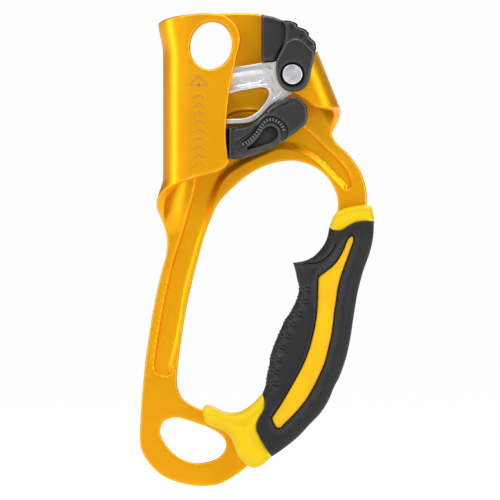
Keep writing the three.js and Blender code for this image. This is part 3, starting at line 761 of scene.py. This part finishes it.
def make_teeth(material):
    """Hooked spikes on the cam's face, in rows that are each shifted by half a pitch."""
    rows, pitch, height, root, sides = 9, 2.4, 1.15, 0.4, 8
    vertices, faces = [], []
    for row in range(rows):
        angle = 0.07 + (TOOTH_ANGLE - 0.09) * row / (rows - 1)
        abreast = 3 if row % 2 else 4
        x, z = tooth_point(angle, -root)
        out = np.array([-math.cos(angle), 0, -math.sin(angle)])
        down = np.array([math.sin(angle), 0, -math.cos(angle)])
        side = np.array([0, 1, 0])
        for i in range(abreast):
            foot = np.array([x, (i - (abreast - 1) / 2) * pitch, z])
            start = len(vertices)
            for share, width in ((0, 0.85), (0.45, 0.6), (0.8, 0.3)):
                middle = foot + out * (height + root) * share + down * 0.7 * share ** 2
                vertices += ring_of(middle, width, down, side, sides)
            vertices.append(foot + out * (height + root) + down * 0.75)
            faces += ring_faces(start, 2, sides)
            top = start + 2 * sides
            faces += [(top + k, top + (k + 1) % sides, start + 3 * sides) for k in range(sides)]
            faces.append(tuple(start + k for k in range(sides)))
    return finish_mesh("cam_teeth", vertices, faces, material)


# ---- trigger

TRIGGER_FACE_Y = -15.4
TRIGGER_LEFT = (15.5, -11.8)  # x and y of the pad's left end, which runs in under the flange
TRIGGER_SLOPE = 0.3


def trigger_face(x):
    """The y of the pad's face where it slopes to its left end."""
    return TRIGGER_LEFT[1] - TRIGGER_SLOPE * (x - TRIGGER_LEFT[0])


def make_trigger(material):
    web = joined([(16, -20.9), (23, -20.4), (27.6, -18.7), (31, -15.7), (33.6, -13.5), (38, -12.4)],
        [(38.4, -15.6), (35, -20.5), (31.5, -25.6), (30, -30.2)], [(22, -33), (14, -33.8), (9, -33.3)],
        [(8.2, -28), (9, -22.4)])
    web_piece = slab("trigger_web", web, [], -7.1, CAM_HALF, material, (0.9, 0.9))
    neck = rounded((15.6, -21.2, 1), (24, -20.6, 1), (27.4, -19.4, 1), (31, -22, 1), (33, -25.4, 1),
        (33.4, -28.2, 1), (30, -30.2, 1), (22, -33, 1), (15.6, -33.9, 0.8))
    neck_piece = slab("trigger_neck", neck, [], -12.4, -7, material, (0.7, 0.9))
    pad = joined([(20, -21), (23, -20.3), (26, -18.4), (28, -16.8), (30.4, -14.2), (33, -12.2),
        (36.5, -10.4), (40.3, -8.7)], [(43, -9.4), (45.2, -11), (46.3, -12.8)],
        [(46.7, -15), (46.9, -17), (46.5, -18.8), (45.8, -20.2)],
        [(42.5, -22.8), (38, -26), (33, -29), (30, -30.3), (26, -31.8), (22, -33), (16.5, -33.8)],
        [(16.5, -21.5)])
    hollow = loop((20.8, -30.3), (23, -29), (25.5, -26.8), (27.5, -24.4), (29, -22), (31, -20.6),
        (33, -20.7), (34.6, -22), (35.1, -24), (34.2, -25.8), (32, -27.3), (29, -28.3), (25, -29.5))
    channel = loop((17.6, -30), (21, -26.6), (24, -24), (26.6, -20.8), (28.8, -17.9), (31, -16.6),
        (33.6, -16.8), (36, -18), (38, -19.8), (39.1, -22.2), (38.8, -24.9), (36.5, -26.6), (36.2, -24),
        (35.4, -21.4), (33.5, -19.8), (31, -19.6), (28.5, -21.3), (26.7, -24), (24.5, -26.3), (21.8, -28.7),
        (19, -30.8))
    brow = joined([(30.4, -16), (32.5, -15.4), (34, -14), (36, -12.9), (39, -11.9), (42.4, -11.6)],
        [(43, -6)], [(26, -10)], [(27, -16.6)])
    ledge = joined([(18, -27.2), (21, -25.3), (23.5, -23.4), (25.4, -21.4), (26.6, -19.6)],
        [(28, -20), (24.4, -25.6), (14, -32.6)], [(14, -29.4)])
    relief = [(hollow, 3.2, 0.7), (channel, 0.9, 0.3), (brow, 0.9, 0.6), (ledge, 0.5, 0.35)]

    def slope(flat, front, back):
        sloping = front + np.maximum(trigger_face(flat[:, 0]) - TRIGGER_FACE_Y, 0)
        return np.minimum(sloping, back - 0.15), back

    face = slab("trigger_pad", pad, [], TRIGGER_FACE_Y, -11.6, material, (1.3, 1.0), relief, shape=slope,
        coarse=0.9)
    centre = smooth_curve([(20, -28.4), (23.3, -26.6), (25.8, -24.3), (27.5, -22), (29, -19.7), (31, -18.2),
        (33.5, -18.2), (35.8, -19.6), (37.2, -21.9), (37.6, -24.6)], 1.25)
    return [web_piece, neck_piece, face, make_knurls("trigger_knurls", centre, KNURL)]


def make_knurls(name, centre, material):
    """Small grip blocks in the channel round the hollow, each square to the line that they follow."""
    vertices, faces = [], []
    block = ((0, 3, 2, 1), (4, 5, 6, 7), (0, 1, 5, 4), (1, 2, 6, 5), (2, 3, 7, 6), (3, 0, 4, 7))
    for i in range(1, len(centre) - 1):
        along = centre[i + 1] - centre[i - 1]
        along /= np.linalg.norm(along)
        side = np.array([-along[1], along[0]])
        front = max(TRIGGER_FACE_Y, trigger_face(centre[i][0]))
        start = len(vertices)
        for y, half_along, half_side in ((front + 1.2, 0.42, 0.75), (front + 0.15, 0.3, 0.6)):
            for a, b in ((-1, -1), (1, -1), (1, 1), (-1, 1)):
                x, z = centre[i] + along * a * half_along + side * b * half_side
                vertices.append((x, y, z))
        faces += [tuple(start + k for k in face) for face in block]
    return finish_mesh(name, vertices, faces, material)


# ---- grip

RUBBER_Y = (-6.0, 19.0)
RUBBER_SWELL = (4.6, 6.0)  # the skin's round edge: its width and its depth
COLLAR_Y = (-4.8, 17.8)
COLLAR_RINGS = (0.2, 1.0, 2, 3, 4.5, 6.5)
INLAY_SWELL = (3.0, 0.35)  # the inlay rises over this width, by this much
FINGER_SLOT = (1.3, 0.45, 0.75)  # half length, half fall, shift from the group's middle
UPPER_SEAM = [(55.6, -61), (57, -61.9), (59, -62.3), (60.5, -62.1), (62.5, -60.8), (64.5, -59.6),
    (67, -58.7), (73.4, -58.4)]
LOWER_SEAM = [(32.5, -152.7), (28, -145.3), (26.3, -141), (27.4, -137.2), (29.1, -134.4), (29.7, -132),
    (28.8, -127.6)]
GRIP_RIGHT = [(73.4, -58.4), (73.3, -62), (73, -65.5), (71.8, -70.8), (69, -78.8), (66.9, -87),
    (65.3, -96.5), (64, -105), (62.4, -112.5), (59.9, -120), (57.4, -125), (55.3, -130), (52.2, -135),
    (47.5, -140), (42.8, -145), (36.5, -150), (32.5, -152.7)]
FINGERS = [(28.8, -127.6), (30.1, -124), (30.6, -120), (31.3, -117.5), (32, -112.5), (33.7, -107.5),
    (35.8, -102.5), (38, -97.8), (40, -95), (41, -93), (42.8, -89), (43.5, -84.3), (43, -83), (41.8, -77.5),
    (41, -75.1)]
HORN = [(41, -75.1), (45, -74.5), (47.5, -73.6), (50, -72), (53.5, -67.8), (54.9, -64.5), (55.6, -61)]
COLLAR_TOP = [(55.6, -61), (56.5, -58.5), (57.4, -56.5), (58.6, -54.9), (61, -53.6), (64, -52.7),
    (67, -52.2), (70.5, -51.9), (72.3, -52.3)]
COLLAR_SIDE = [(72.3, -52.3), (73.2, -56), (73.4, -58.4)]
FOOT_UNDER = [(32.5, -152.7), (28, -156.5), (26, -157.2), (24, -157), (22.8, -156.3), (18.7, -152.3)]
FOOT_EYE = [(18.7, -152.3), (17.3, -148), (16.3, -145.4), (14.6, -143.4), (12.5, -142), (7.5, -140),
    (6.1, -138.8), (4.9, -135.2)]
FOOT_TOP = [(4.9, -135.2), (4.8, -134), (5.4, -132.7), (6.6, -132.2), (8.5, -132.6), (13, -134.6),
    (16, -135.2), (19, -135.1), (23.5, -132.8), (28.8, -127.6)]
SEAM_RIM = (0.45, 0.45)


def grip_silhouette():
    """The whole grip's outer edge, which all its pieces are rounded towards."""
    return outline(COLLAR_TOP, COLLAR_SIDE, GRIP_RIGHT, FOOT_UNDER, FOOT_EYE, FOOT_TOP, FINGERS, HORN)


def inlay_outline():
    return joined(
        [(63, -65.6), (62.2, -67.5), (61.2, -70), (58.7, -74.4), (56.5, -76.8), (54, -78.7), (51.2, -80.8)],
        [(51, -86), (50.7, -94), (49.9, -100), (48.8, -105), (47.4, -110), (45.5, -115), (43, -120),
        (40.2, -125), (37.3, -130), (34, -135), (32.5, -137.2)],
        [(34.3, -140.8), (35.8, -141.2), (36.9, -140)], [(41.9, -135), (46, -130), (49, -125), (51.5, -120),
        (53.6, -115), (54.9, -110), (56.1, -105), (56.9, -100), (57.4, -95), (58.2, -90), (58.9, -85),
        (60.2, -80), (62, -75), (63.8, -70), (65.2, -65.4), (64.5, -64.2)])


def slot_outline(points, half_width):
    """A round-ended slot that follows a line."""
    centre = resample(np.array(points, float), 0.5)
    along = unit(np.gradient(centre, axis=0))
    side = columns(-along[:, 1], along[:, 0]) * half_width
    return np.concatenate([centre + side, (centre - side)[::-1]])


def make_rubber(material):
    edge = outline(UPPER_SEAM, GRIP_RIGHT, LOWER_SEAM, FINGERS, HORN)
    room = ring_points(inlay_outline(), 0.7)
    if not inside(inlay_outline()[:1], room)[0]:
        room = ring_points(inlay_outline(), -0.7)
    room = resample(np.concatenate([room, room[:1]]), 0.8)[:-1]
    valley = loop((49, -92), (50, -96), (49.4, -102), (47, -111), (42, -122), (36, -131), (34, -131),
        (37, -124), (42.4, -113), (45.6, -103), (47, -96))
    horn = slot_outline(smooth_curve(
        [(58, -67.6), (57, -69.8), (55.5, -71.8), (53.5, -73.7), (51.5, -74.8), (49, -75.4), (45, -75.5)],
        0.5), 0.28)
    relief = [(room, 1.7, 0.5), (valley, 1.4, 2.6), (horn, 0.6, 0.2)]
    relief += [(line, 0.4, 0.2) for line in finger_slots()]
    body = slab("grip_skin", edge, [], *RUBBER_Y, material, SEAM_RIM, relief, relief, coarse=1.4,
        rings=(0.2, 1.0, 2.2, 4.5, 7), swell=(grip_silhouette(), *RUBBER_SWELL))
    return [body, make_ribs(material)]


FINGER_GROUPS = [(46.5, -85.7), (45.4, -90.5), (43.6, -95.6), (41, -99.6), (38.5, -104.2), (36.8, -108.9),
    (35.4, -113.8), (34.4, -118.8), (33.8, -123.4)]


def finger_slots():
    """Two short slots in each of the finger groups, which run down to the right."""
    long, fall, shift = FINGER_SLOT
    return [slot_outline([(x - long, z + side + fall), (x + long, z + side - fall)], 0.24) for x,
        z in FINGER_GROUPS for side in (-shift, shift)]


def make_ribs(material):
    """Pairs of low ribs that wrap the finger side of the grip."""
    edge = smooth_curve(FINGERS, 0.25)
    inward = np.array([0.95, -0.31])
    vertices, faces = [], []
    pitch, sides, wire, sunk = 1.5, 8, 0.5, 0.24
    reach = 2.6 * (1 - np.cos(np.linspace(0, 1, 12) * math.pi / 2))
    drop = rim_drop(reach, *RUBBER_SWELL)
    for _, group_z in FINGER_GROUPS:
        for step in (-0.5, 0.5):
            at = edge[np.argmin(abs(edge[:, 1] - (group_z + 1.0 + step * pitch)))]
            x, z = (at + np.outer(reach + sunk, inward)).T
            low = columns(x, RUBBER_Y[0] + drop + sunk, z)
            high = columns(x, RUBBER_Y[1] - drop - sunk, z)
            add_tube(vertices, faces, np.concatenate([low[::-1], high]), wire, sides)
    return finish_mesh("grip_ribs", vertices, faces, material)


def add_tube(vertices, faces, path, wire, sides):
    """A round tube with closed, tapered ends along a path."""
    along = unit(np.gradient(path, axis=0))
    up = unit(np.cross(along, (0, 0, 1.0)))
    side = np.cross(along, up)
    start = len(vertices)
    last = len(path) - 1
    for i, point in enumerate(path):
        r = wire * min(1, 0.15 + 0.6 * min(i, last - i))
        vertices += ring_of(point, r, up[i], side[i], sides)
    faces += ring_faces(start, last, sides)
    faces.append(tuple(start + k for k in range(sides)))
    faces.append(tuple(start + last * sides + k for k in reversed(range(sides))))


def make_inlay(name, front, back, rise, material):
    edge = inlay_outline()

    def crown(flat, low, high):
        swell = INLAY_SWELL[1] * smoothstep(distance(flat, [edge]) / INLAY_SWELL[0])
        return (low - swell, high) if rise else (low, high + swell)

    return slab(name, edge, [], front, back, material, (0.55, 0.45), shape=crown, coarse=1.4)


def make_collars(material):
    upper = outline(COLLAR_TOP, COLLAR_SIDE, UPPER_SEAM[::-1])
    lip = joined([(58, -57), (61.5, -55.6), (66, -54.5), (75, -54)], [(75, -49)], [(52, -49)], [(52, -56.5)])
    lower = outline(FOOT_UNDER, FOOT_EYE, FOOT_TOP, LOWER_SEAM[::-1])
    waist = loop((13, -138), (18, -138.4), (23, -137), (27, -133.6), (27.4, -135.6), (25.4, -140),
        (26.6, -145), (29, -150), (24, -149.4), (20.6, -144), (17, -140.6))
    whole = grip_silhouette()
    pieces = []
    for name, edge, relief, coarse, swell in (
        ("collar_upper", upper, [(lip, -0.9, 0.9)], 1.2, (2.6, 3.2)),
        ("collar_lower", lower, [(waist, 0.8, 2.2)], 1.3, (2.8, 3.4)),
    ):
        collar = slab(name, edge, [], *COLLAR_Y, material, SEAM_RIM, relief, relief, coarse=coarse,
            rings=COLLAR_RINGS, swell=(whole, *swell))
        pieces.append(collar)
    return pieces


# ---- marks

def make_marks(material):
    """A generic arrow and a column of chevrons on the front flange. The marks are real; their darker gold is
    painted shade that stands in for the shaded edges of engraved marks.
    """
    def painted_mark(name, edge, holes=()):
        return slab(name, edge, holes, -OUTER - 0.07, -OUTER + 0.12, material, (0.05, 0.03))

    triangle = rounded((3.4, 0.2, 0.3), (7.6, -4.6, 0.3), (-0.8, -4.4, 0.3), spacing=0.3)
    inner = rounded((3.4, -1.0, 0.2), (6.0, -4.0, 0.2), (0.8, -3.9, 0.2), spacing=0.3)
    bar = rounded((3.1, -1.8, 0.1), (3.7, -1.8, 0.1), (3.7, -5.4, 0.1), (3.1, -5.4, 0.1), spacing=0.2)
    pieces = [painted_mark("arrow_mark", triangle, [inner]), painted_mark("arrow_bar_mark", bar)]
    count, pitch, half, rise, stroke = 9, 3.4, 2.4, 1.6, 0.85
    for i in range(count):
        x, z = 3.5, -7.6 - pitch * i
        corners = [(x, z), (x + half, z - rise), (x + half, z - rise - stroke), (x, z - stroke),
            (x - half, z - rise - stroke), (x - half, z - rise)]
        edge = rounded(*((px, pz, 0.06) for px, pz in corners), spacing=0.3)
        pieces.append(painted_mark(f"chevron_mark_{i + 1}", edge))
    return pieces


# ---- camera, floor and light

VIEW = (0.0238, -0.0700)  # x and z of the point that the camera looks at
VIEW_WIDTH = 0.200
CAMERA_DISTANCE = 3.6
SENSOR = 36.0
FLOOR_R = 6
WHITE = (1, 1, 1, 1)
LIGHTS = (  # name, place, size along x and y, power
    ("key", (-0.45, -0.9, 0.55), (0.4, 0.4), 3.5),
    ("fill", (0.8, -0.8, 0.05), (0.45, 0.45), 2.2),
    ("top", (0.12, -0.35, 0.8), (0.5, 0.5), 4),
    ("upper_right", (0.6, -0.55, 0.5), (0.4, 0.4), 2),
    ("left_strip", (-0.62, -0.22, -0.05), (0.2, 0.9), 2.3),
    ("rear", (0.3, 0.75, 0.5), (0.6, 0.6), 3.2),
)
LIT_POINT = (0.02, 0, -0.07)  # what every light faces


def make_camera():
    data = bpy.data.cameras.new("camera")
    data.sensor_width = SENSOR
    data.lens = SENSOR * CAMERA_DISTANCE / VIEW_WIDTH
    camera = bpy.data.objects.new("camera", data)
    camera.location = (VIEW[0], -CAMERA_DISTANCE, VIEW[1])
    camera.rotation_euler = (math.radians(90), 0, 0)
    bpy.context.scene.collection.objects.link(camera)
    bpy.context.scene.camera = camera


def make_light(name, place, size, power):
    data = bpy.data.lights.new(name, "AREA")
    data.shape = "RECTANGLE"
    data.size, data.size_y = size
    data.energy = power
    lamp = bpy.data.objects.new(name, data)
    lamp.location = place
    lamp.rotation_euler = (Vector(LIT_POINT) - Vector(place)).to_track_quat("-Z", "Y").to_euler()
    bpy.context.scene.collection.objects.link(lamp)


def make_floor():
    """A wide pale disc under the part."""
    low = cad_box[0][2] - 0.0005
    turns = np.linspace(0, 2 * math.pi, 64, endpoint=False)
    vertices = [(FLOOR_R * math.cos(a), FLOOR_R * math.sin(a), low) for a in turns]
    material, shader = new_material("floor_finish", Roughness=0.9, Emission_Color=WHITE,
        Emission_Strength=0.9)
    tone = mottled(material, noise(material, 3, 2), (0.24, 0.24, 0.24), (0.26, 0.26, 0.26))
    feed(material, shader, Base_Color=tone)
    finish_mesh("floor", vertices, [tuple(range(len(vertices)))], material, scale=1.0)


def light_scene():
    """White seen directly, a dimmer room in reflections, and softboxes round the part."""
    scene = bpy.context.scene
    scene.view_settings.view_transform = "Standard"
    world = scene.world = bpy.data.worlds.new("studio")
    world.use_nodes = True
    nodes = world.node_tree.nodes
    feed(world, nodes["Background"], Color=WHITE, Strength=0.28)
    backdrop = add_node(world, "Background", Color=WHITE, Strength=0.99)
    seen = add_node(world, "LightPath").outputs["Is Camera Ray"]
    mixer = add_node(world, "MixShader", Fac=seen)
    world.node_tree.links.new(nodes["Background"].outputs["Background"], mixer.inputs[1])
    world.node_tree.links.new(backdrop.outputs["Background"], mixer.inputs[2])
    feed(world, nodes["World Output"], Surface=mixer.outputs["Shader"])
    for light in LIGHTS:
        make_light(*light)


make_camera()
make_floor()
light_scene()


# ---- assembly

def dress(piece, body, slot, *nodes):
    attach(piece, body)
    if nodes:
        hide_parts(*nodes)


CARRIED = {
    "axle_washer_rear": BRIGHT_STEEL, "cam_bush": BRIGHT_STEEL, "cam_washer_front": BRIGHT_STEEL,
    "cam_washer_rear": BRIGHT_STEEL, "cam_spring": SPRING_STEEL, "trigger_spring": SPRING_STEEL,
    "trigger_pin": BRIGHT_STEEL, "grip_shell_front": LEMON_PAINTED_SHADE, "grip_shell_rear": LEMON_PAINTED_SHADE,
}
for node, material in CARRIED.items():
    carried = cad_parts[node]
    for socket in carried.material_slots:
        socket.material = material

dress(make_frame(GOLD), "root", "anodised_frame", "frame")
for mark in make_marks(ENGRAVING_SHADE):
    dress(mark, "root", "black_plastic")
for piece in make_cover(BLACK):
    dress(piece, "root", "black_plastic", "top_cover")
dress(make_axle(TURNED_STEEL), "root", "bright_steel", "cam_axle")
for piece in make_cam(CAM_STEEL):
    dress(piece, "cam", "cam_steel", "cam")
for piece in make_trigger(BLACK):
    dress(piece, "trigger", "black_plastic", "trigger")
for piece in make_rubber(RUBBER):
    dress(piece, "root", "grip_rubber", "grip_rubber")
# the inlays take the painted-shade copy of the lemon plastic
dress(make_inlay("inlay_front", -5.1, -3, True, LEMON_PAINTED_SHADE), "root", "yellow_plastic", "grip_inlay_front")
dress(make_inlay("inlay_rear", 16.5, 18.1, False, LEMON_PAINTED_SHADE), "root", "yellow_plastic", "grip_inlay_rear")
for collar, node in zip(make_collars(LEMON), ("grip_collar_upper", "grip_collar_lower")):
    dress(collar, "root", "lemon_plastic", node)
